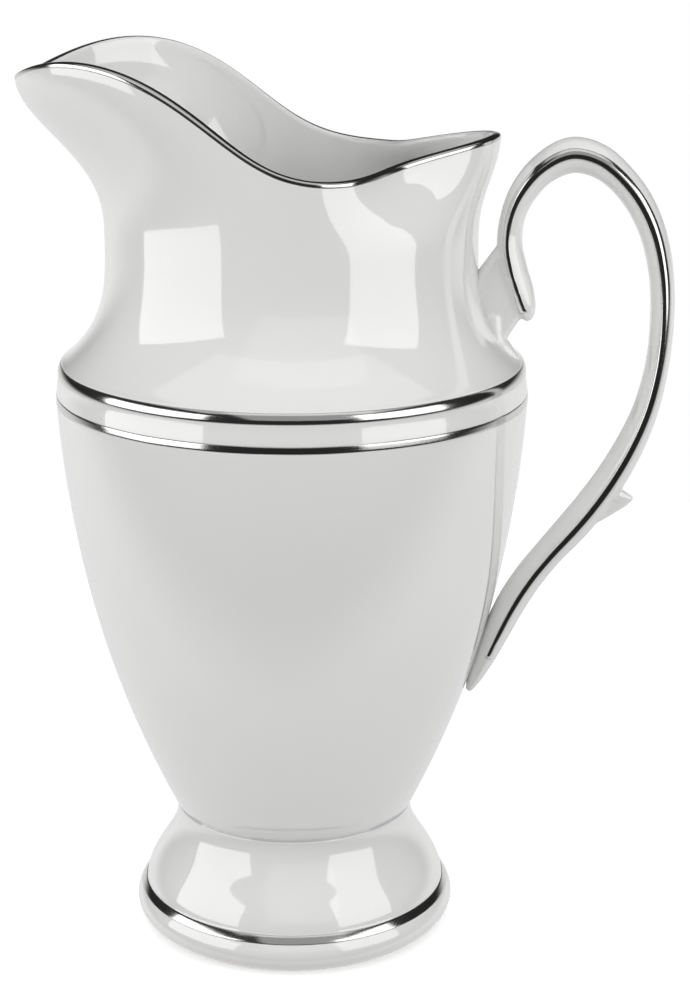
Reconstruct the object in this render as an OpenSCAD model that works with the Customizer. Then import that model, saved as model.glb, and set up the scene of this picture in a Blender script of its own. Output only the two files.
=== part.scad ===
// Glazed bone china water pitcher with platinum trim, in millimetres.
// The origin is on the bowl's axis at the plane the foot stands on. +Z is up,
// the handle is on +X, the spout on -X, and the plane y = 0 is a mirror plane.

/* [Bowl] */
// Height of the waist, where the bowl sits on the foot
waist_z = 32.5; // [28:0.5:36]
// Radius of the bowl and the foot at the waist
waist_r = 31.2; // [29:0.2:33]
// Radius of the bowl at its shoulder
shoulder_r = 59.6; // [57:0.2:62]
// Height of the lower edge of the shoulder wall
shoulder_z = 142.4; // [138:0.2:146]
// Thickness of the cast wall
wall = 3; // [2.4:0.1:3.6]

/* [Shoulder trim] */
// Height of the painted pinstripe
pinstripe_h = 1.7; // [1.2:0.1:2.2]
// White wall left between the pinstripe and the band
white_gap = 4.9; // [4:0.1:6]
// Radius of the rounded edge that carries the band
edge_round = 3.2; // [2.6:0.1:3.8]
// How far that edge sits inside the bowl's largest radius
edge_in = 0.65; // [0.4:0.05:0.9]

/* [Neck and mouth] */
// Height of the narrowest section of the neck
neck_z = 183.5; // [180:0.5:188]
// Half-width of the neck from spout to handle
neck_rx = 46.5; // [44:0.5:49]
// Half-width of the neck from side to side
neck_ry = 44.5; // [42:0.5:47]
// Reach of the mouth over the handle
mouth_back = 51.5; // [49:0.5:53]
// Half-width of the mouth at its middle
mouth_side = 45; // [44:0.5:47]
// Reach of the spout from the axis
spout_reach = 67.5; // [65:0.5:71]
// Height of the lip over the handle
lip_back_z = 208.5; // [206:0.5:211]
// Height of the lip where it dips at the side
lip_dip_z = 202; // [200:0.5:204]
// Height of the lip's crest beside the spout
lip_crest_z = 227; // [224:0.5:230]
// Height of the spout's tip
spout_tip_z = 221.5; // [218:0.5:223]
// Thickness of the rounded lip
lip_t = 2.6; // [2.2:0.1:3]

/* [Foot] */
// Largest radius of the foot
foot_r = 41.9; // [40:0.1:44]
// Outer radius of the ring that the foot stands on
ring_outer = 38; // [37:0.5:39]
// Width of that ring
ring_w = 4.5; // [3.5:0.5:5.5]
// Height of the band's lower edge on the foot
foot_band_z = 8.6; // [8:0.1:9]
// Height of the foot's band
foot_band_h = 2.1; // [1.6:0.1:2.6]

/* [Handle] */
// Half-thickness of the handle from side to side
handle_half_y = 4.5; // [3.8:0.1:5.2]
// Width of the line painted along each side
line_w = 1.4; // [1:0.1:1.8]
// How far the painted ridge sits outside the middle
ridge_out = 0.7; // [0.4:0.1:1]

/* [Hidden] */
// A platinum coat's thickness, drawn heavier than it is
coat = 0.2;
around = 64;
china = [0.95, 0.95, 0.93];
platinum = [0.72, 0.72, 0.74];

pin_top = shoulder_z + pinstripe_h;
band_z = pin_top + white_gap;
// The rounded edge, by the angle of its surface above level
function edge_at(a) = [shoulder_r - edge_in - edge_round * (1 - cos(a)),
    band_z + edge_round * (sin(a) + sin(12))];
neck_foot = edge_at(60);

function mix(a, b, t) = a + (b - a) * t;
// A point on a cubic Bezier curve
function bez(p, t) = pow(1 - t, 3) * p[0] + 3 * t * pow(1 - t, 2) * p[1]
    + 3 * t * t * (1 - t) * p[2] + t * t * t * p[3];
// A smooth even curve through seven values, 30 degrees apart from handle to spout
function weight(i) = i == 0 || i == 6 ? 0.5 : 1;
function term(v, k) = [for (j = [0:6]) weight(j) * v[j] * cos(k * j * 30)] * [for (j = [0:6]) 1];
function round_curve(v, a) = [for (k = [0:6]) weight(k) * term(v, k) * cos(k * a)]
    * [for (k = [0:6]) 1] / 3;

mouth_radii = [mouth_back, mouth_back - 11.5, mouth_side - 3, mouth_side, mouth_side + 5.5,
    spout_reach - 4.5, spout_reach];
lip_heights = [lip_back_z, lip_back_z - 3.5, lip_dip_z, lip_dip_z + 3, lip_crest_z - 5.5,
    lip_crest_z, spout_tip_z];
function mouth_r(a) = round_curve(mouth_radii, a);
function lip_z(a) = round_curve(lip_heights, a);
function neck_r(a) = norm([neck_rx * cos(a), neck_ry * sin(a)]);

// The bowl's outline from the waist to the shoulder
bowl = [[waist_r, waist_z], [waist_r + 18.5, waist_z + 37], [shoulder_r - 2.2, shoulder_z - 37],
    [shoulder_r, shoulder_z]];
// Neck below its narrowest section, as a share s of the way up, drawn in by d
function low_neck(a, s, d) = let (z = mix(neck_foot[1], neck_z, s))
    [mix(neck_r(a), neck_foot[0], pow(1 - s, 3.3)) - d, z];
// Neck above its narrowest section: the mouth opens more slowly at the spout
function high_neck(a, s, d) = let (q = mix(1.15, 1.33, (1 - cos(a)) / 2), w = sin(90 * pow(s, q)))
    [mix(neck_r(a), mouth_r(a), w * w) - d, mix(neck_z, lip_z(a), s)];

function on_circle(a, p) = [p[0] * cos(a), p[0] * sin(a), p[1]];
function angles() = [for (i = [0:around - 1]) i * 360 / around];
function ring(p) = [for (a = angles()) on_circle(a, p)];

bowl_rows = [for (i = [0:19]) ring(bez(bowl, i / 20))];
pin_rows = [ring([shoulder_r, shoulder_z]), ring([shoulder_r - 0.1, pin_top])];
band_rows = [for (a = [-12, 7, 26, 44]) ring(edge_at(a))];
low_rows = [for (i = [0:9]) [for (a = angles()) on_circle(a, low_neck(a, i / 9, 0))]];
high_rows = [for (i = [1:9]) [for (a = angles()) on_circle(a, high_neck(a, i / 10, 0))]];
// The lip: four rows over the rounded edge, each [share up the neck, inward, upward]
lip_form = [[0.955, 0, 0], [1, 0.1, -0.1], [1, lip_t * 0.5, 0.55], [1, lip_t * 0.9, -0.1]];
function lip_row(f, grow) = [for (a = angles()) let (p = high_neck(a, f[0], f[1]))
    on_circle(a, [p[0] + grow[0], p[1] + f[2] + grow[1]])];
lip_rows = [for (f = lip_form) lip_row(f, [0, 0])];
inner_high = [for (i = [9:-1.5:1.4]) [for (a = angles())
    on_circle(a, high_neck(a, i / 10, mix(wall, lip_t, i / 10)))]];
inner_low = [for (i = [9:-1.5:1.4]) [for (a = angles()) on_circle(a, low_neck(a, i / 9, wall))]];
inner_bowl = [for (t = [1:-0.09:0.08]) ring(bez(bowl, t) - [wall, 0])];
inner_floor = [ring([waist_r - 6, waist_z + 5.2]), ring([waist_r - 14, waist_z + 4])];

// Closes a stack of rings with triangles; the first and last ring get a flat or domed cap
function skin(rows) = let (n = len(rows[0]), m = len(rows))
    [for (j = [0:m - 2], i = [0:n - 1], h = [0, 1]) let (k = (i + 1) % n)
        h == 0 ? [j * n + i, (j + 1) * n + i, (j + 1) * n + k]
        : [j * n + i, (j + 1) * n + k, j * n + k]];
function flat(rows) = [for (r = rows, p = r) p];
module stack(rows) {
    n = len(rows[0]);
    m = len(rows);
    first = [for (i = [0:n - 1]) [n * m, i, (i + 1) % n]];
    last = [for (i = [0:n - 1]) [n * m + 1, (m - 1) * n + (i + 1) % n, (m - 1) * n + i]];
    mid = [for (r = [rows[0], rows[m - 1]]) [0, 0, ([for (p = r) p[2]] * [for (p = r) 1]) / n]];
    polyhedron(concat(flat(rows), mid), concat(skin(rows), first, last));
}
// A closed band: the last ring joins the first
function wrap(rows) = let (n = len(rows[0]), m = len(rows))
    [for (j = [0:m - 1], i = [0:n - 1], h = [0, 1]) let (k = (i + 1) % n, u = (j + 1) % m)
        h == 0 ? [j * n + i, u * n + i, u * n + k] : [j * n + i, u * n + k, j * n + k]];
module coat_band(grown, base) {
    rows = concat(grown, [for (i = [len(base) - 1:-1:0]) base[i]]);
    polyhedron(flat(rows), wrap(rows));
}
function swell(rows, d) = [for (r = rows) [for (i = [0:around - 1])
    r[i] + d * [cos(i * 360 / around), sin(i * 360 / around), 0]]];

outer_rows = concat(bowl_rows, pin_rows, band_rows, low_rows, high_rows, lip_rows);

// Bowl, neck and spout: one slip-cast piece with a closed floor and an open mouth
module body() {
    color(china) stack(concat(outer_rows, inner_high, inner_low, inner_bowl, inner_floor));
}

// The same piece filled, for trimming what is stuck to it
module filled_body() {
    stack(outer_rows);
}

// Platinum over the rounded lip
lip_growth = [[coat, 0], [coat * 0.8, coat * 0.6], [0, coat], [-coat * 0.8, coat * 0.6]];
module rim_line() {
    grown = [for (i = [0:3]) lip_row(lip_form[i], lip_growth[i])];
    color(platinum) coat_band(grown, lip_rows);
}

// Platinum on the rounded edge of the shoulder
module shoulder_band() {
    color(platinum) coat_band(swell(band_rows, coat), band_rows);
}

// The thin line below it
module shoulder_pinstripe() {
    color(platinum) coat_band(swell(pin_rows, coat), pin_rows);
}

foot_band_top = foot_band_z + foot_band_h;
bell_r = foot_r - 2.3;
bell = [[waist_r, waist_z], [waist_r - 1.4, waist_z - 8.5], [bell_r - 1, foot_band_top + 7.9],
    [bell_r, foot_band_top]];
edge = [[foot_r - 0.8, foot_band_z], [foot_r + 1.3, foot_band_z - 3.1], [foot_r + 0.4, 2.2],
    [ring_outer, 0]];
ring_inner = ring_outer - ring_w;
hollow = [[ring_inner, 0], [ring_inner + 6.5, 9], [ring_inner - 5, 17], [waist_r - 4.8, waist_z]];

// Foot: a hollow pedestal cast by itself and stuck under the bowl
module foot() {
    color(china) rotate_extrude($fn = 180) polygon(concat([for (i = [0:14]) bez(bell, i / 14)],
        [for (i = [0:8]) bez(edge, i / 8)], [for (i = [0:8]) bez(hollow, i / 8)]));
}

// Platinum near the foot's edge
module foot_band() {
    a = [bell_r, foot_band_top];
    b = [foot_r - 0.8, foot_band_z];
    color(platinum) rotate_extrude($fn = 180)
        polygon([a, b, b + [coat, 0], a + [coat, 0]]);
}

// The handle's middle line from the curled end to the tail: [x, z, half-width, half-thickness]
// The thickness is a share of handle_half_y
path = [[59.4, 162.8, 0.9, 0.35], [58.7, 165.2, 2.5, 0.7], [57.2, 169.8, 3.4, 0.9],
    [55.4, 175.6, 3.4, 1], [54.2, 182, 3.2, 1], [54.8, 188.6, 3.1, 1], [57.2, 194.6, 3.4, 1],
    [61.8, 200.3, 3.8, 1], [68.4, 203.9, 4.4, 1], [74.8, 202.9, 4.2, 1], [80.4, 199, 3.7, 1],
    [85.7, 192.6, 3.5, 1], [89.6, 184.2, 3.3, 1], [91.8, 174, 3.1, 1], [92.3, 163, 3, 1],
    [91.5, 152, 3, 1], [89.2, 141, 3.3, 1], [85.6, 131.5, 3.7, 1], [81.1, 122.8, 4, 1],
    [76.6, 115.8, 4.2, 1], [71.6, 109.2, 4.2, 1], [66.2, 102.7, 3.9, 1], [61.2, 96, 3.9, 1],
    [57, 89, 3.9, 1], [53.4, 81.4, 3.6, 0.95], [50.4, 74.2, 3, 0.8], [47.6, 67.6, 2, 0.55],
    [46, 63.9, 0.9, 0.3]];
last = len(path) - 1;
// A smooth curve through the path
function at(i) = path[max(0, min(last, i))];
function through(i, t) = let (a = at(i - 1), b = at(i), c = at(i + 1), d = at(i + 2))
    b + t * (c - a) / 2 + t * t * (2 * a - 5 * b + 4 * c - d) / 2
    + t * t * t * (3 * b - a - 3 * c + d) / 2;
steps = 3;
line = concat([for (i = [0:last - 1], k = [0:steps - 1]) through(i, k / steps)], [at(last)]);
function way(i) = let (a = line[max(0, i - 1)], b = line[min(len(line) - 1, i + 1)],
    d = [b[0] - a[0], b[1] - a[1]]) d / norm(d);
// The section is a lens with a flat ridge on each side, where the line is painted
function half_section(w, h) = let (k = min(1, w / 3), o = ridge_out * k, e = line_w / 2 * k)
    [[w, 0], [w * 0.86, h * 0.42], [w * 0.56, h * 0.78], [o + e, h], [o - e, h],
    [-w * 0.5, h * 0.8], [-w * 0.85, h * 0.44], [-w, 0]];
function section(w, h) = let (s = half_section(w, h))
    concat([for (p = s) [p[0], -p[1]]], [for (i = [6:-1:1]) s[i]]);
function put(i, p) = let (c = line[i], t = way(i))
    [c[0] - t[1] * p[0], p[1], c[1] + t[0] * p[0]];
function loop_row(i) = [for (p = section(line[i][2], line[i][3] * handle_half_y)) put(i, p)];

module tube(rows) {
    n = len(rows[0]);
    m = len(rows);
    polyhedron(flat(rows), concat(skin(rows), [[for (i = [0:n - 1]) i]],
        [[for (i = [n - 1:-1:0]) (m - 1) * n + i]]));
}
module blob(p, w = 1) {
    translate([p[0], 0, p[1]]) scale([1, w, 1]) sphere(p[2], $fn = 20);
}
module link(a, b, w = 1) {
    hull() {
        blob(a, w);
        blob(b, w);
    }
}

// Handle: a cast loop with a free curled end, a root on the neck, a spur and a tail
module handle() {
    color(china) difference() {
        union() {
            tube([for (i = [0:len(line) - 1]) loop_row(i)]);
            link([53.4, 180.5, 2.6], [49.5, 174.7, 2.4]);
            link([49.5, 174.7, 2.4], [46.5, 170, 3]);
            link([55, 174, 3.1], [48, 168, 4]);
            link([56.5, 169.5, 2.9], [50, 163, 4]);
            link([57, 167, 2.2], [52.2, 160.6, 3]);
            link([50, 163, 4], [50.5, 157, 3.9]);
            link([50.5, 157, 3.9], [55.4, 153, 1.8]);
            link([81, 118.8, 2.4], [86, 117.3, 1], 0.9);
            link([84.8, 116.4, 1.2], [78, 113, 2.2], 0.9);
        }
        filled_body();
    }
}

// The painted line along one side of the handle
module side_line(s) {
    ends = [3, len(line) - 7];
    rows = [for (i = [ends[0]:ends[1]]) let (w = line[i][2], h = line[i][3] * handle_half_y,
        k = min(1, w / 3), o = ridge_out * k, e = line_w / 2 * k)
        [for (p = [[o + e, h], [o - e, h], [o - e, h + coat], [o + e, h + coat]])
            put(i, [p[0], s * p[1]])]];
    turned = s > 0 ? rows : [for (r = rows) [r[3], r[2], r[1], r[0]]];
    color(platinum) tube(turned);
}
module handle_line_left() {
    side_line(-1);
}
module handle_line_right() {
    side_line(1);
}

body();
foot();
handle();
rim_line();
shoulder_band();
shoulder_pinstripe();
foot_band();
handle_line_left();
handle_line_right();
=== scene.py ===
import bmesh
import bpy
import numpy as np
from mathutils import Matrix


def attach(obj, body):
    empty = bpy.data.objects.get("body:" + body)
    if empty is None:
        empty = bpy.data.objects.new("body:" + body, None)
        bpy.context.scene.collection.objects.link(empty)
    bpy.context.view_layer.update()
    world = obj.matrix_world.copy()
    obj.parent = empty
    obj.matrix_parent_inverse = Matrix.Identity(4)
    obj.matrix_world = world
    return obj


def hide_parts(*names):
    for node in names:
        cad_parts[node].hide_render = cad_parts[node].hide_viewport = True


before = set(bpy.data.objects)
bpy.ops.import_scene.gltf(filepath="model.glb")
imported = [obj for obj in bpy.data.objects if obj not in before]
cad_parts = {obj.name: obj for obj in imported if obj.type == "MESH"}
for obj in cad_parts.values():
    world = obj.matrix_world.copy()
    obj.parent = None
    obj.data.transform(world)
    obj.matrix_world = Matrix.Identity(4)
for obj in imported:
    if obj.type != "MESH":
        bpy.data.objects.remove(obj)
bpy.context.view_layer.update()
scene = bpy.context.scene

# --- Bowl, neck and spout ---------------------------------------------------
# One slip-cast piece of bone china, with a closed floor and a waved mouth pulled out
# into a spout. It is fired, dipped in clear glaze inside and out, and fired again.

MM = 0.001
WAIST, SHOULDER = np.array([31.2, 32.5]), np.array([59.6, 142.4])
PIN_TOP, BAND_LOW = 144.1, 149.0
EDGE_ROUND, EDGE_OUT = 3.2, SHOULDER[0] - 0.65
NECK_Z, NECK_X, NECK_Y = 183.5, 46.5, 44.5
NECK_POWER = 3.3
WALL, LIP = 3.0, 2.6
MOUTH_RADII = [51.5, 40.0, 42.0, 45.0, 50.5, 63.0, 67.5]
LIP_HEIGHTS = [208.5, 205.0, 202.0, 205.0, 221.5, 227.0, 221.5]
TURN = np.linspace(0, 2 * np.pi, 256, endpoint=False)


def round_mouth(values, angle):
    """Seven values 30 degrees apart, from the handle to the spout, joined by a sum of
    cosines of whole multiples of the angle, so that both halves mirror each other."""
    k = np.arange(7)
    ends = np.where(k % 6 == 0, 0.5, 1.0)
    share = np.cos(np.outer(k, k) * np.pi / 6) @ (ends * np.array(values)) * ends / 3
    return share @ np.cos(np.outer(k, angle))


def bezier(points, t):
    """The cubic curve of four points, each weighted by its Bernstein polynomial at t."""
    p, t = np.asarray(points, float), np.asarray(t, float)[:, None]
    s = 1 - t
    return s**3 * p[0] + 3 * t * s**2 * p[1] + 3 * t**2 * s * p[2] + t**3 * p[3]


MOUTH_R, LIP_Z = round_mouth(MOUTH_RADII, TURN), round_mouth(LIP_HEIGHTS, TURN)


def neck_radius(angle):
    """An ellipse's two half-widths, each times its cosine or sine, as one length."""
    return np.hypot(NECK_X * np.cos(angle), NECK_Y * np.sin(angle))


def round_axis(radius, height):
    """Points of that radius and height at every angle round the axis, row by row."""
    r, z = np.broadcast_arrays(radius + 0 * TURN, height + 0 * TURN)
    return np.stack([r * np.cos(TURN), r * np.sin(TURN), z], -1)


def rounded_edge(degrees):
    """The rounded edge of the shoulder: a circle's cosine and sine at that angle of its
    surface above level, from 12 degrees under it."""
    a = np.radians(degrees)
    return np.stack([EDGE_OUT - EDGE_ROUND * (1 - np.cos(a)),
                     BAND_LOW + EDGE_ROUND * (np.sin(a) + np.sin(np.radians(12)))], -1)


NECK_FOOT = rounded_edge(60)


def low_neck(share, inward=0.0):
    """From the shoulder (0) to the narrowest section (1): the radius falls by a power."""
    r = neck_radius(TURN) + (NECK_FOOT[0] - neck_radius(TURN)) * (1 - share) ** NECK_POWER
    return round_axis(r - inward, NECK_FOOT[1] + (NECK_Z - NECK_FOOT[1]) * share)


def high_neck(share, inward=0.0):
    """From the narrowest section (0) to the lip (1): a squared sine of a power of the
    share, which is higher, and so opens later, towards the spout."""
    power = 1.15 + 0.18 * (1 - np.cos(TURN)) / 2
    opening = np.sin(np.pi / 2 * share**power) ** 2
    r = neck_radius(TURN) + (MOUTH_R - neck_radius(TURN)) * opening
    return round_axis(r - inward, NECK_Z + (LIP_Z - NECK_Z) * share)


def turned(profile):
    """A profile of radius and height, turned about the axis."""
    p = np.asarray(profile, float)
    return round_axis(p[:, :1], p[:, 1:])


def over_lip(turn):
    """Half an ellipse over the lip at those angles, from outside (0) to inside (pi)."""
    r = MOUTH_R - LIP / 2 + LIP / 2 * np.cos(turn)
    return round_axis(r, LIP_Z + 0.6 * np.sin(turn))


def quads(rows, columns, start=0, joined=True, stacked=False):
    """Quads of a grid of rows. Its columns meet if joined, and its rows if stacked."""
    j = np.arange(rows if stacked else rows - 1)[:, None]
    i = np.arange(columns if joined else columns - 1)[None, :]
    k, u = (i + 1) % columns, (j + 1) % rows
    corners = [j * columns + i, j * columns + k, u * columns + k, u * columns + i]
    return np.stack(np.broadcast_arrays(*corners), -1).reshape(-1, 4) + start


def piece(name, points, faces, slot, *nodes, **marks):
    """A smooth object from points in millimetres. Points that meet become one, faces
    are turned outwards, and each mark is kept as an attribute of the points."""
    mesh = bpy.data.meshes.new(name)
    flat = np.asarray(points).reshape(-1, 3) * MM
    mesh.from_pydata(flat.tolist(), [], [list(f) for f in faces])
    for mark, values in marks.items():
        layer = mesh.attributes.new(mark, "FLOAT", "POINT")
        layer.data.foreach_set("value", np.asarray(values, np.float32).ravel())
    shell = bmesh.new()
    shell.from_mesh(mesh)
    bmesh.ops.remove_doubles(shell, verts=shell.verts, dist=2e-7)
    bmesh.ops.recalc_face_normals(shell, faces=shell.faces)
    shell.to_mesh(mesh)
    shell.free()
    mesh.polygons.foreach_set("use_smooth", np.ones(len(mesh.polygons), bool))
    made = bpy.data.objects.new(name, mesh)
    scene.collection.objects.link(made)
    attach(made, "root")
    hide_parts(*nodes)
    return made


BOWL = [WAIST, WAIST + [18.5, 37], SHOULDER - [2.2, 37], SHOULDER]


def evenly(low, high, count):
    """Even shares from low to high, one for each row."""
    return np.linspace(low, high, count)[:, None]


wall = np.concatenate([
    turned([[0, 32.5], [12, 32.5], [24, 32.5], [30.4, 32.5]]),
    turned(bezier(BOWL, np.linspace(0, 1, 54))),
    turned([SHOULDER - [0.1, -1.7], SHOULDER - [0.35, -4.2]]),
    turned(rounded_edge(np.linspace(-12, 58, 20))),
    low_neck(evenly(0, 1, 36)), high_neck(evenly(0, 0.985, 40)[1:]),
    over_lip(evenly(0, np.pi, 13)),
    high_neck(evenly(0.985, 0, 30), 2.8), low_neck(evenly(1, 0, 22)[1:], WALL),
    turned(bezier(BOWL, np.linspace(1, 0.12, 32)) - [WALL, 0]),
    turned(bezier([[36.6, 45.5], [32.5, 38.5], [20.0, 36.5], [0.0, 36.5]],
                  np.linspace(0, 1, 20)))])
bowl = piece("bowl_china", wall, quads(len(wall), len(TURN)), "china", "body")


class Wire:
    """A shader socket that arithmetic works on. Each operator adds its Math node."""

    def __init__(self, finish, socket):
        self.finish, self.socket = finish, socket

    def maths(self, operation, *values):
        made = self.finish.node("ShaderNodeMath", {"operation": operation},
                                dict(enumerate(values)))
        return made["Value"]

    def __add__(self, other):
        return self.maths("ADD", self, other)

    def __sub__(self, other):
        return self.maths("SUBTRACT", self, other)

    def __rsub__(self, other):
        return self.maths("SUBTRACT", other, self)

    def __mul__(self, other):
        return self.maths("MULTIPLY", self, other)

    def __pow__(self, other):
        return self.maths("POWER", self, other)

    def size(self):
        return self.maths("ABSOLUTE", self)

    def under(self, limit, soft):
        """1 well under the limit, 0 well over it, and a straight fall between."""
        made = self.finish.node("ShaderNodeMapRange", {}, {
            "Value": self, "From Min": limit - soft, "From Max": limit + soft,
            "To Min": 1.0, "To Max": 0.0})
        return made["Result"]

    __radd__, __rmul__ = __add__, __mul__


class Finish:
    """A material, and the one way in which nodes are added to it."""

    def __init__(self, name):
        self.material = bpy.data.materials.new(name)
        self.material.use_nodes = True
        self.tree = self.material.node_tree
        self.shader = self.tree.nodes["Principled BSDF"]

    def node(self, kind, settings, values):
        """Adds a node: its settings first, then the values or links of its sockets."""
        made = self.tree.nodes.new(kind)
        for key, value in settings.items():
            setattr(made, key, value)
        return self.fill(made, values)

    def fill(self, made, values):
        """Sets or links sockets, and gives the outputs that are in use by name."""
        for key, value in values.items():
            if isinstance(value, Wire):
                self.tree.links.new(value.socket, made.inputs[key])
            elif isinstance(value, tuple) and len(value) == 3 and made.inputs[key].type == "RGBA":
                made.inputs[key].default_value = (*value, 1.0)
            else:
                made.inputs[key].default_value = value
        return {o.name: Wire(self, o) for o in made.outputs if o.enabled}

    def blend(self, factor, first, second):
        """A colour between the first and the second, by the factor."""
        made = self.node("ShaderNodeMix", {"data_type": "RGBA"},
                         {0: factor, 6: first, 7: second})
        return made["Result"]

    def noise(self, place, scale, detail=2.0, roughness=0.5):
        """Smooth noise from 0 to 1, with that many waves to the metre."""
        made = self.node("ShaderNodeTexNoise", {}, {
            "Vector": place, "Scale": scale, "Detail": detail, "Roughness": roughness})
        return made["Fac"] if "Fac" in made else made["Factor"]

    def coat(self, *objects):
        """Puts the finish on those objects, in place of what they had."""
        for made in objects:
            made.data.materials.clear()
            made.data.materials.append(self.material)


def glazed_china(name, bare_foot=False):
    """Milk-white bone china under clear glaze. The glaze is wavy over 5 mm and has a rare speck.
    In the waist crease it is painted a cooler grey, partly for glaze gathered there and
    partly as painted crease shade. A bare foot has no glaze where it stands."""
    finish = Finish(name)
    place = finish.node("ShaderNodeTexCoord", {}, {})["Object"]
    height = finish.node("ShaderNodeSeparateXYZ", {}, {0: place})["Z"]
    cloud = finish.noise(place, 22.0, 3.0)
    ripple = finish.noise(place, 190.0, 2.0, 0.4)
    grain = finish.noise(place, 2600.0, 2.0)
    # A band round the waist crease, where the bowl meets the foot: the mask of the gathered glaze
    # and of the painted crease shade.
    pool_and_crease_shade = (height - float(WAIST[1] * MM)).size().under(0.0012, 0.0011)
    cells = finish.node("ShaderNodeTexVoronoi", {}, {"Vector": place, "Scale": 70.0})
    chosen = finish.node("ShaderNodeSeparateXYZ", {}, {0: cells["Color"]})["X"]
    speck = cells["Distance"].under(0.012, 0.006) * chosen.under(0.25, 0.01)
    white = finish.blend(cloud, (0.80, 0.80, 0.795), (0.845, 0.842, 0.83))
    # Painted shade: the waist crease is darkened to a cooler grey, partly gathered glaze and
    # partly painted crease shade.
    white = finish.blend(pool_and_crease_shade * 0.12, white, (0.70, 0.72, 0.72))
    white = finish.blend(speck * 0.3, white, (0.45, 0.43, 0.40))
    gloss = 0.07 + cloud * 0.06
    shine = 1.0 - speck * 0.2
    bumps = ripple * 1.0 + grain * 0.02
    if bare_foot:
        bare = height.under(0.0008, 0.0002)
        white = finish.blend(bare, white, (0.74, 0.71, 0.66))
        gloss = gloss + bare * 0.5
        shine = shine - bare
        bumps = bumps + bare * grain * 1.5
    relief = finish.node("ShaderNodeBump", {}, {
        "Strength": 1.0, "Distance": 0.000018, "Height": bumps})["Normal"]
    finish.fill(finish.shader, {
        "Base Color": white, "Roughness": gloss, "Normal": relief, "IOR": 1.5,
        "Subsurface Weight": 0.12, "Subsurface Radius": (1.0, 0.95, 0.85),
        "Subsurface Scale": 0.002, "Coat Weight": shine, "Coat Roughness": 0.02,
        "Coat IOR": 1.65})
    return finish


glazed_china("bowl_glaze").coat(bowl)

# --- Foot -------------------------------------------------------------------
# A hollow pedestal, cast by itself and stuck under the bowl with slip. It stands on a
# flat ring, which is wiped clean of glaze so that it does not stick in the kiln.

FOOT_BAND = np.array([[39.6, 10.7], [40.37, 9.67], [41.1, 8.6]])
foot_profile = np.concatenate([
    bezier([[33.5, 0.0], [40.0, 9.0], [28.5, 17.0], [26.4, 32.5]], np.linspace(1, 0, 34)),
    bezier([FOOT_BAND[2], [43.2, 5.5], [42.3, 2.2], [38.0, 0.0]], np.linspace(1, 0, 30)),
    FOOT_BAND[1:2],
    bezier([WAIST, WAIST - [1.4, 8.5], [38.6, 18.6], FOOT_BAND[0]], np.linspace(1, 0, 44))])
stand = turned(foot_profile)
foot = piece("foot_china", stand, quads(len(stand), len(TURN), stacked=True), "china", "foot")
glazed_china("foot_glaze", bare_foot=True).coat(foot)

# --- Handle -----------------------------------------------------------------
# A cast loop, stuck to the neck by a spread root and to the bowl by a thin tail. Its
# upper end curls free, and a leaf-shaped spur stands out low on its back.

# Each row of the middle line: distance from the axis, height, half-width in the loop's
# plane, and share of the half-thickness, from the curled end to the tail.
PATH = np.array([
    [59.4, 162.8, 0.9, 0.35], [58.7, 165.2, 2.5, 0.7], [57.2, 169.8, 3.4, 0.9],
    [55.4, 175.6, 3.4, 1], [54.2, 182, 3.2, 1], [54.8, 188.6, 3.1, 1], [57.2, 194.6, 3.4, 1],
    [61.8, 200.3, 3.8, 1], [68.4, 203.9, 4.4, 1], [74.8, 202.9, 4.2, 1], [80.4, 199, 3.7, 1],
    [85.7, 192.6, 3.5, 1], [89.6, 184.2, 3.3, 1], [91.8, 174, 3.1, 1], [92.3, 163, 3, 1],
    [91.5, 152, 3, 1], [89.2, 141, 3.3, 1], [85.6, 131.5, 3.7, 1], [81.1, 122.8, 4, 1],
    [76.6, 115.8, 4.2, 1], [71.6, 109.2, 4.2, 1], [66.2, 102.7, 3.9, 1], [61.2, 96, 3.9, 1],
    [57, 89, 3.9, 1], [53.4, 81.4, 3.6, 0.95], [50.4, 74.2, 3, 0.8], [47.6, 67.6, 2, 0.55],
    [46, 63.9, 0.9, 0.3]])
HALF_THICK, RIDGE_OUT, STEPS = 4.5, 0.7, 9
ROOT_DEPTH = 1.2


def through(path, steps):
    """A curve through every row, cubic between two rows, whose slope at each row is half
    the way from the row before to the row after."""
    p = np.concatenate([path[:1], path, path[-1:]])
    t = (np.arange(steps) / steps)[None, :, None]
    a, b, c, d = (p[i:len(p) - 3 + i, None] for i in range(4))
    square, cube = 2 * a - 5 * b + 4 * c - d, 3 * b - a - 3 * c + d
    curve = b + t * (c - a) / 2 + t**2 * square / 2 + t**3 * cube / 2
    return np.concatenate([curve.reshape(-1, path.shape[1]), path[-1:]])


def carried(line, out, side):
    """Offsets out of the loop and to its side, carried along the line in its plane."""
    step = np.gradient(line[:, :2], axis=0)
    step /= np.linalg.norm(step, axis=1, keepdims=True)
    x, z = line[:, :1] - step[:, 1:] * out, line[:, 1:2] + step[:, :1] * out
    return np.stack(np.broadcast_arrays(x, side, z), -1)


def lens(line, lap):
    """The loop's section at each turn of lap: rounded inside and outside, with a blunt
    ridge on each side that sits a little outside the middle."""
    wide, thick = line[:, 2:3], line[:, 3:4] * HALF_THICK
    across, up = np.cos(lap), np.sin(lap)
    side = thick * np.sign(up) * (1 - np.abs(across) ** 1.7) ** 0.62
    out = wide * across + RIDGE_OUT * np.minimum(1, wide / 3) * (1 - np.abs(across)) ** 2
    return carried(line, out, side)


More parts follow.
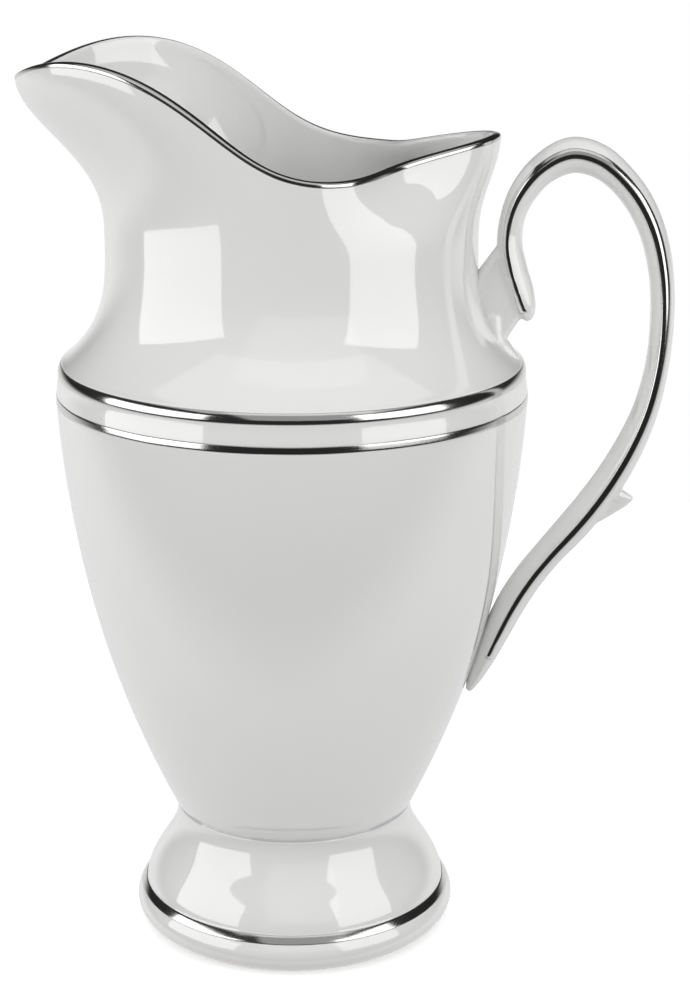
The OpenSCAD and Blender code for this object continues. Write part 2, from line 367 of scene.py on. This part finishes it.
def pill(x0, z0, r0, x1, z1, r1):
    """A round-ended link in the loop's plane: circles round its line, which grow from
    the first radius to the second and close over a quarter turn at each end."""
    a, b = np.array([x0, 0, z0]), np.array([x1, 0, z1])
    axis = (b - a) / np.linalg.norm(b - a)
    q = np.linspace(-np.pi / 2, np.pi / 2, 16)[:, None, None]
    t = np.linspace(0, 2 * np.pi, 24, endpoint=False)[None, :, None]
    r = np.where(q < 0, r0, r1)
    spoke = np.cos(t) * np.cross(axis, [0.0, 1.0, 0.0]) + np.sin(t) * np.array([0.0, 1.0, 0.0])
    return np.where(q < 0, a, b) + r * (np.sin(q) * axis + np.cos(q) * spoke)


# The root is a fan of links from the loop down to the neck, close enough to run together.
FAN = np.array([[53.4, 180.5, 2.5, 46.5, 170, 3], [55.3, 173.5, 3.1, 48.2, 166.5, 3.8],
                [57, 167, 2.3, 52.2, 160.6, 3]])
LINKS = through(FAN, 5).tolist() + [
    [50, 163, 4, 50.5, 157, 3.9], [50.5, 157, 3.9, 55.4, 153, 1.8],
    [81, 118.8, 2.4, 86, 117.3, 1], [84.8, 116.4, 1.2, 78, 113, 2.2]]
line = through(PATH, STEPS)
lap = np.linspace(0, 2 * np.pi, 48, endpoint=False)[None]
loop = lens(line, lap)
ends = [np.broadcast_to(loop[i].mean(axis=0), (1, 48, 3)) for i in (0, -1)]
shells = [np.concatenate([ends[0], loop, ends[1]])] + [pill(*link) for link in LINKS]
starts = np.cumsum([0] + [s.shape[0] * s.shape[1] for s in shells[:-1]])
loop_faces = np.concatenate([quads(*s.shape[:2], n) for s, n in zip(shells, starts)])
handle = piece("handle_china", np.concatenate([s.reshape(-1, 3) for s in shells]), loop_faces,
               "china", "handle")


def settled(made):
    """The object's mesh with its modifiers worked in, so that none is left live."""
    bpy.context.view_layer.update()
    done = made.evaluated_get(bpy.context.evaluated_depsgraph_get())
    mesh = bpy.data.meshes.new_from_object(done)
    made.modifiers.clear()
    made.data = mesh
    points = np.zeros(len(mesh.vertices) * 3)
    mesh.vertices.foreach_get("co", points)
    return points.reshape(-1, 3) / MM


one = handle.modifiers.new("one_clay", "REMESH")
one.mode, one.voxel_size, one.use_smooth_shade = "VOXEL", 0.4 * MM, True
soft = handle.modifiers.new("wiped", "SMOOTH")
soft.factor, soft.iterations = 0.5, 8
clay = settled(handle)
# The root is cut off at its depth inside the neck's wall.
angle = np.arctan2(clay[:, 1], clay[:, 0])
rise = np.clip((clay[:, 2] - NECK_FOOT[1]) / (NECK_Z - NECK_FOOT[1]), 0, 1)
skin = neck_radius(angle) + (NECK_FOOT[0] - neck_radius(angle)) * (1 - rise) ** NECK_POWER
reach = np.hypot(clay[:, 0], clay[:, 1])
on_neck = (clay[:, 2] > BAND_LOW) & (clay[:, 2] < NECK_Z)
grow = np.where(on_neck, np.maximum(reach, skin - ROOT_DEPTH), reach) / reach
clay[:, :2] *= grow[:, None]
handle.data.vertices.foreach_set("co", (clay * MM).ravel())
handle.data.update()
glazed_china("handle_glaze").coat(handle)

# --- Platinum round the lip and the bowl ------------------------------------
# Liquid platinum, laid on the glaze with a loaded brush while the pitcher turns on a
# banding wheel, then fired to a thin bright film. Its edges waver a little.

FILM, RIM_DOWN, PIN_OVER, LINE_ROWS = 0.07, 0.8, 0.2, 9


def waver(size, seed, angle=TURN):
    """A small unsteady offset: a few waves round the axis with drawn phases."""
    draw = np.random.default_rng(seed)
    waves = np.arange(3, 46)
    weight = draw.normal(size=len(waves)) / waves**0.8
    return size * weight @ np.cos(np.outer(waves, angle) + draw.uniform(0, 6.28, (len(waves), 1)))


def film(rows, joined=True):
    """A thin closed coat on a grid of rows: the rows moved out along their normals by
    the film, then back under the glaze. Gives the points and each one's place across."""
    down = np.gradient(rows, axis=0)
    round_ = np.roll(rows, -1, 1) - np.roll(rows, 1, 1) if joined else np.gradient(rows, axis=1)
    normal = np.cross(down, round_)
    normal /= np.linalg.norm(normal, axis=-1, keepdims=True)
    across = np.linspace(-1, 1, len(rows))[:, None]
    lift = FILM * (1 - np.abs(across) ** 8) - 0.02
    place = np.broadcast_to(across, rows.shape[:2])
    shell = np.concatenate([rows - normal * lift[..., None], (rows + normal * 0.12)[::-1]])
    return shell, np.concatenate([place, place[::-1]])


def platinum():
    """Bright metal with the brush's fine marks along the line, a little cloudy, and
    duller where the film thins out at its two edges."""
    finish = Finish("platinum_lustre")
    place = finish.node("ShaderNodeTexCoord", {}, {})["Object"]
    x, y, z = finish.node("ShaderNodeSeparateXYZ", {}, {0: place}).values()
    across = finish.node("ShaderNodeAttribute", {"attribute_name": "across"}, {})["Fac"]
    hair = finish.node("ShaderNodeCombineXYZ", {}, {
        0: x * 55 + z * 37, 1: y * 55 - z * 23, 2: across * 9})["Vector"]
    marks = finish.noise(hair, 1.6, 3.0, 0.6)
    cloud = finish.noise(place, 130.0, 2.0)
    thin = across.size() ** 7
    metal = finish.blend(marks, (0.66, 0.655, 0.645), (0.78, 0.775, 0.765))
    relief = finish.node("ShaderNodeBump", {}, {
        "Strength": 1.0, "Distance": 0.000004, "Height": marks + cloud * 0.6})["Normal"]
    finish.fill(finish.shader, {
        "Base Color": metal, "Metallic": 1.0 - thin * 0.15, "Normal": relief,
        "Roughness": 0.07 + marks * 0.06 + cloud * 0.05 + thin * 0.22})
    return finish


lustre = platinum()


def painted(name, rows, node):
    """A film all the way round on those rows."""
    shell, place = film(rows)
    made = piece(name, shell, quads(len(shell), len(TURN), stacked=True), "platinum", node,
                 across=place)
    lustre.coat(made)
    return made


down_lip = 1 - (RIM_DOWN + waver(0.05, 4)) / (LIP_Z - NECK_Z) * evenly(1, 0, 7)
over = over_lip(evenly(0.15, 2.3, 12) + waver(0.03, 5))
painted("rim_platinum", np.concatenate([high_neck(down_lip), over]), "rim_line")
painted("shoulder_platinum", turned(rounded_edge(np.linspace(-12, 44, 14))), "shoulder_band")
pin_low = SHOULDER[1] - PIN_OVER + waver(0.04, 6)
pin_high = PIN_TOP + PIN_OVER + waver(0.04, 7)
step = evenly(0, 1, 7)
pin_rows = round_axis(SHOULDER[0] - 0.1 * step, pin_low + (pin_high - pin_low) * step)
painted("pinstripe_platinum", pin_rows, "shoulder_pinstripe")

# --- Platinum on the foot ---------------------------------------------------
# A band on the narrow slope above the foot's edge, laid on the same wheel.

step = evenly(0, 1, LINE_ROWS)
slope = FOOT_BAND[2] + step * (FOOT_BAND[0] - FOOT_BAND[2])
slope[:, 0] += 0.05 * np.sin(np.pi * step[:, 0])
painted("foot_platinum", turned(slope), "foot_band")

# --- Platinum on the handle -------------------------------------------------
# A line drawn freehand along the ridge of each side, from the curled end to near the
# tail. It swells over the top of the loop, where the brush presses.

# The line runs from the path's row 1 to its row 25. Each knot is a row and, in
# millimetres, the brush's half-width there.
drawn = slice(STEPS, 25 * STEPS + 1)
KNOTS = [[1, 1.1], [3, 0.8], [5, 1.0], [8, 1.6], [10, 1.5], [14, 1.3], [20, 1.2], [25, 0.8]]
place_on = np.arange(len(line))[drawn] / STEPS
brush = np.interp(place_on, *np.transpose(KNOTS))
ridge = RIDGE_OUT * np.minimum(1, line[drawn, 2] / 3)
unused = ((drawn.start, len(line) - drawn.stop), (0, 0))
for hand, node, seed in ((-1, "handle_line_left", 11), (1, "handle_line_right", 12)):
    shaky = waver(0.03, seed, place_on / 4)
    out = (ridge + shaky)[:, None] + brush[:, None] * np.linspace(-1, 1, LINE_ROWS)
    sheet = carried(line, np.pad(out, unused), hand * 2 * HALF_THICK)[drawn]
    name = node.replace("line", "platinum")
    made = piece(name, sheet, quads(*sheet.shape[:2], joined=False), "platinum", node)
    press = made.modifiers.new("press", "SHRINKWRAP")
    press.target, press.wrap_method, press.use_project_y = handle, "PROJECT", True
    press.use_negative_direction = press.use_positive_direction = True
    pressed = settled(made).reshape(sheet.shape)
    shell, place = film(pressed.transpose(1, 0, 2), joined=False)
    if hand * (shell[LINE_ROWS // 2, 100, 1] - pressed[100, LINE_ROWS // 2, 1]) < 0:
        shell, place = film(pressed.transpose(1, 0, 2)[::-1], joined=False)
    caps = [np.arange(len(shell)) * shell.shape[1] + k for k in (0, shell.shape[1] - 1)]
    faces = [*quads(*shell.shape[:2], joined=False, stacked=True), *caps]
    bpy.data.objects.remove(made)
    made = piece(name, shell, faces, "platinum", node, across=place)
    lustre.coat(made)

# --- Studio -----------------------------------------------------------------
# A pale table, two large softboxes, a grey card over the camera, a scrim overhead and a
# lit backdrop, in a white room that fills the shadows and leaves dark gaps in the metal.

eye = np.array([0.0682, -0.5558, 0.2777])
yaw, pitch, roll, turn = 0.024, 0.284, 0.002, np.radians(7.0)
ahead = np.array([np.sin(yaw) * np.cos(pitch), np.cos(yaw) * np.cos(pitch), -np.sin(pitch)])
right = np.array([np.cos(yaw), -np.sin(yaw), 0.0])
up = np.cross(right, ahead)
right, up = right * np.cos(roll) + up * np.sin(roll), up * np.cos(roll) - right * np.sin(roll)
spin = np.array([[np.cos(turn), -np.sin(turn), 0], [np.sin(turn), np.cos(turn), 0], [0, 0, 1]])
axes = np.stack([right, up, -ahead], -1)
lens_data = bpy.data.cameras.new("camera")
lens_data.lens, lens_data.sensor_width = 81.465, 36.0
camera = bpy.data.objects.new("camera", lens_data)
place = np.eye(4)
place[:3, :3], place[:3, 3] = spin @ axes, eye
camera.matrix_world = Matrix(place.tolist())
scene.collection.objects.link(camera)
scene.camera = camera

middle = np.array([0.0, 0.0, 0.17])


def softbox(name, bearing, height, distance, width, tall, watts):
    """A flat light at that bearing round the axis and that angle above the table, turned
    to face the middle of the object."""
    data = bpy.data.lights.new(name, "AREA")
    data.shape, data.size, data.size_y = "RECTANGLE", width, tall
    data.energy = watts
    made = bpy.data.objects.new(name, data)
    a, h = np.radians(bearing), np.radians(height)
    away = np.array([np.cos(a) * np.cos(h), np.sin(a) * np.cos(h), np.sin(h)])
    flat = np.array([-np.sin(a), np.cos(a), 0.0])
    place = np.eye(4)
    place[:3, :3] = np.stack([flat, np.cross(away, flat), away], -1)
    place[:3, 3] = middle + away * distance
    made.matrix_world = Matrix(place.tolist())
    made.visible_camera = False
    scene.collection.objects.link(made)
    return made


softbox("left_softbox", -152.5, 5.5, 1.0, 1.09, 0.70, 4.6)
softbox("right_softbox", -29.5, 9.5, 1.0, 0.83, 0.75, 3.5)
softbox("front_card", -77.0, 40.0, 1.0, 1.1, 1.35, 1.7)
softbox("overhead_scrim", -83.0, 78.0, 1.2, 2.0, 1.4, 4.5)
backdrop = softbox("white_backdrop", 97.0, 8.0, 1.0, 3.0, 1.2, 10.0)
backdrop.visible_glossy = False

TABLE_RADIUS, TABLE_SIDES = 0.42, 96
table = bpy.data.meshes.new("table")
side = np.linspace(0, 2 * np.pi, TABLE_SIDES, endpoint=False)
edge = np.stack([TABLE_RADIUS * np.cos(side), TABLE_RADIUS * np.sin(side),
                 np.full(TABLE_SIDES, -0.0001)], -1)
table.from_pydata(edge.tolist(), [], [list(range(TABLE_SIDES))])
table_top = bpy.data.objects.new("table", table)
scene.collection.objects.link(table_top)
table_top.visible_diffuse = table_top.visible_glossy = False
paper = Finish("table_paper")
fibre = paper.noise(paper.node("ShaderNodeTexCoord", {}, {})["Object"], 900.0, 3.0)
paper.fill(paper.shader, {
    "Base Color": paper.blend(fibre, (0.93, 0.93, 0.93), (0.95, 0.95, 0.95)), "Roughness": 0.9,
    "Specular IOR Level": 0.1, "Emission Color": (1.0, 1.0, 1.0), "Emission Strength": 0.35})
paper.coat(table_top)

world = bpy.data.worlds.new("white_room")
world.use_nodes = True
scene.world = world
tree = world.node_tree
ray = tree.nodes.new("ShaderNodeLightPath")
fill, seen, mirrored = (tree.nodes.new("ShaderNodeBackground") for _ in range(3))
for backing, strength in ((fill, 0.46), (seen, 1.0), (mirrored, 1.0)):
    backing.inputs["Color"].default_value = (1, 1, 1, 1)
    backing.inputs["Strength"].default_value = strength
# In reflections the room is pale behind and under the object, dark before and above it.
toward = tree.nodes.new("ShaderNodeTexCoord")
lean, shade = tree.nodes.new("ShaderNodeVectorMath"), tree.nodes.new("ShaderNodeMapRange")
lean.operation, shade.interpolation_type = "DOT_PRODUCT", "SMOOTHSTEP"
lean.inputs[1].default_value = (0.0, 0.45, -0.9)
tree.links.new(toward.outputs["Generated"], lean.inputs[0])
tree.links.new(lean.outputs["Value"], shade.inputs["Value"])
for socket, value in zip(shade.inputs[1:5], (0.2, 0.5, 0.02, 0.8)):
    socket.default_value = value
tree.links.new(shade.outputs["Result"], mirrored.inputs["Color"])
in_metal, in_view = (tree.nodes.new("ShaderNodeMixShader") for _ in range(2))
tree.links.new(ray.outputs["Is Glossy Ray"], in_metal.inputs[0])
tree.links.new(fill.outputs[0], in_metal.inputs[1])
tree.links.new(mirrored.outputs[0], in_metal.inputs[2])
tree.links.new(ray.outputs["Is Camera Ray"], in_view.inputs[0])
tree.links.new(in_metal.outputs[0], in_view.inputs[1])
tree.links.new(seen.outputs[0], in_view.inputs[2])
tree.links.new(in_view.outputs[0], tree.nodes["World Output"].inputs[0])
scene.view_settings.view_transform = "Standard"
